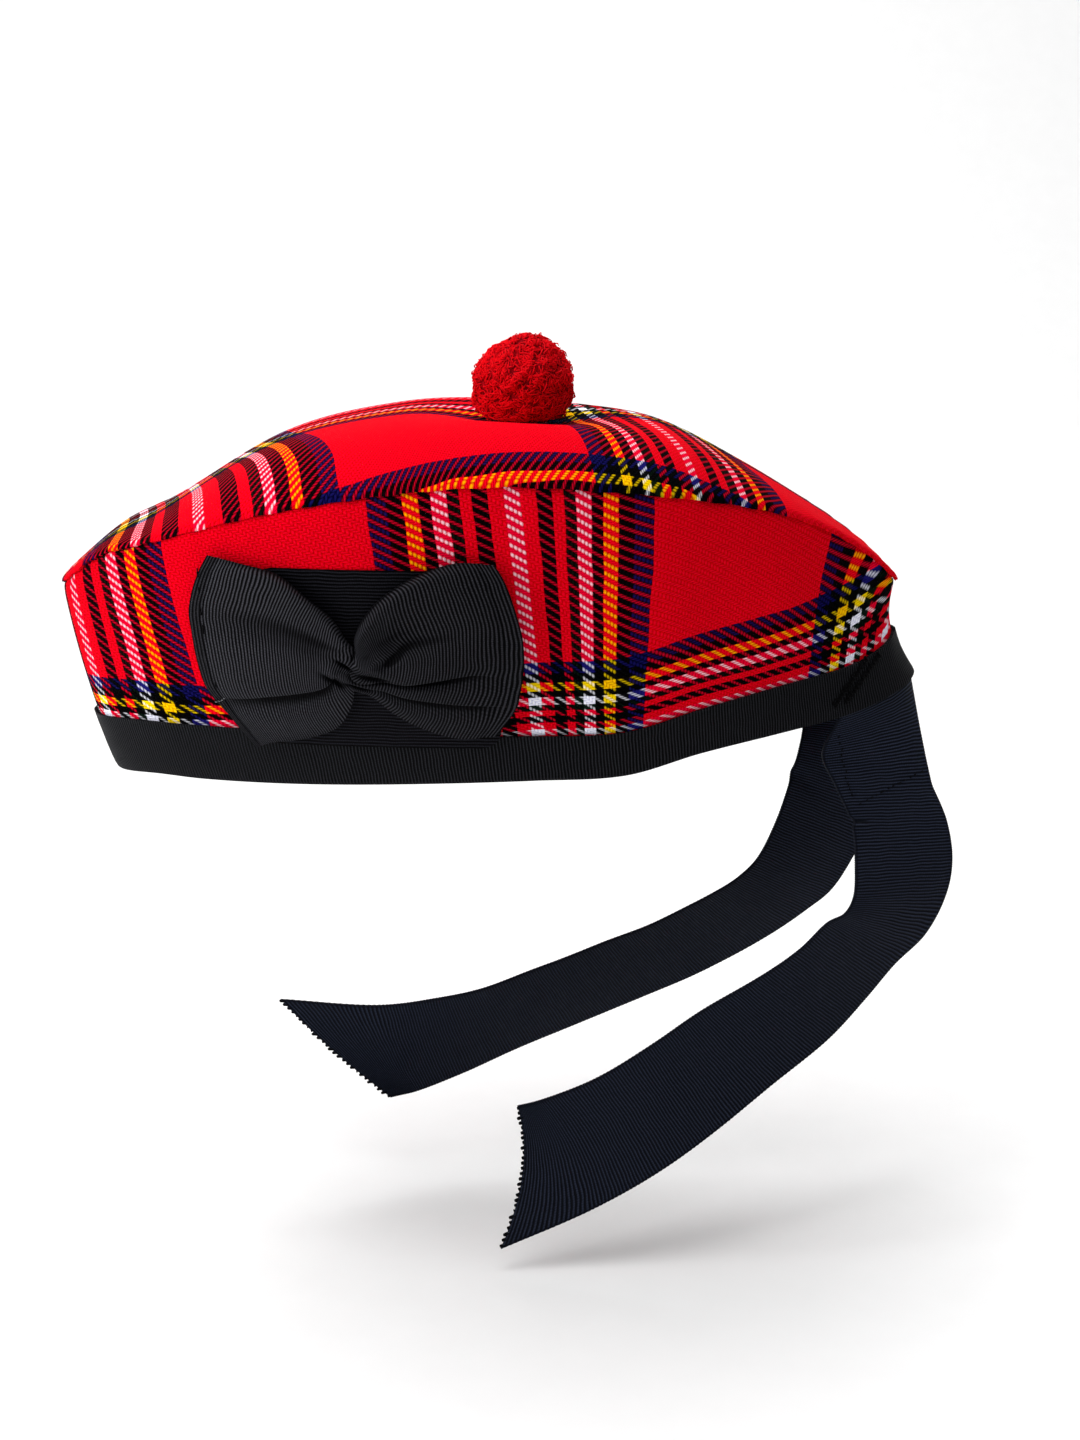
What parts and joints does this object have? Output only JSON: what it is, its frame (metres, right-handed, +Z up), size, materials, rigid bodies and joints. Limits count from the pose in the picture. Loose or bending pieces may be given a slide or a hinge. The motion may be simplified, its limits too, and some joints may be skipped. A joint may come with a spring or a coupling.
{
  "type": "tartan glengarry hat",
  "caption": "Soft tartan glengarry hat with a boxy side wall, puffed oval crown, pompom, ribbon band, pinched ribbon cockade and ribbon tails at the back.",
  "frame": {"origin": "centre of the head opening, level with the front of the rim, where the hat sits on a head", "axes": "+Z up through the crown, +X to the back of the hat, -Y to the cockade side, which is the wearer's left"},
  "size_m": [0.2839, 0.1354, 0.284],
  "materials": {
    "tartan": "woven tartan twill, matt with a faint nap",
    "grosgrain": "ribbed black grosgrain ribbon, low sheen",
    "pompom_wool": "cut wool yarn, matt and tufted"
  },
  "bodies": {
    "root": {"side_left": "tartan", "side_right": "tartan", "crown": "tartan", "band": "grosgrain", "cockade_backing": "grosgrain", "cockade_bow": "grosgrain", "pompom": "pompom_wool", "tail_left": "grosgrain", "tail_right": "grosgrain"}
  },
  "joints": []
}
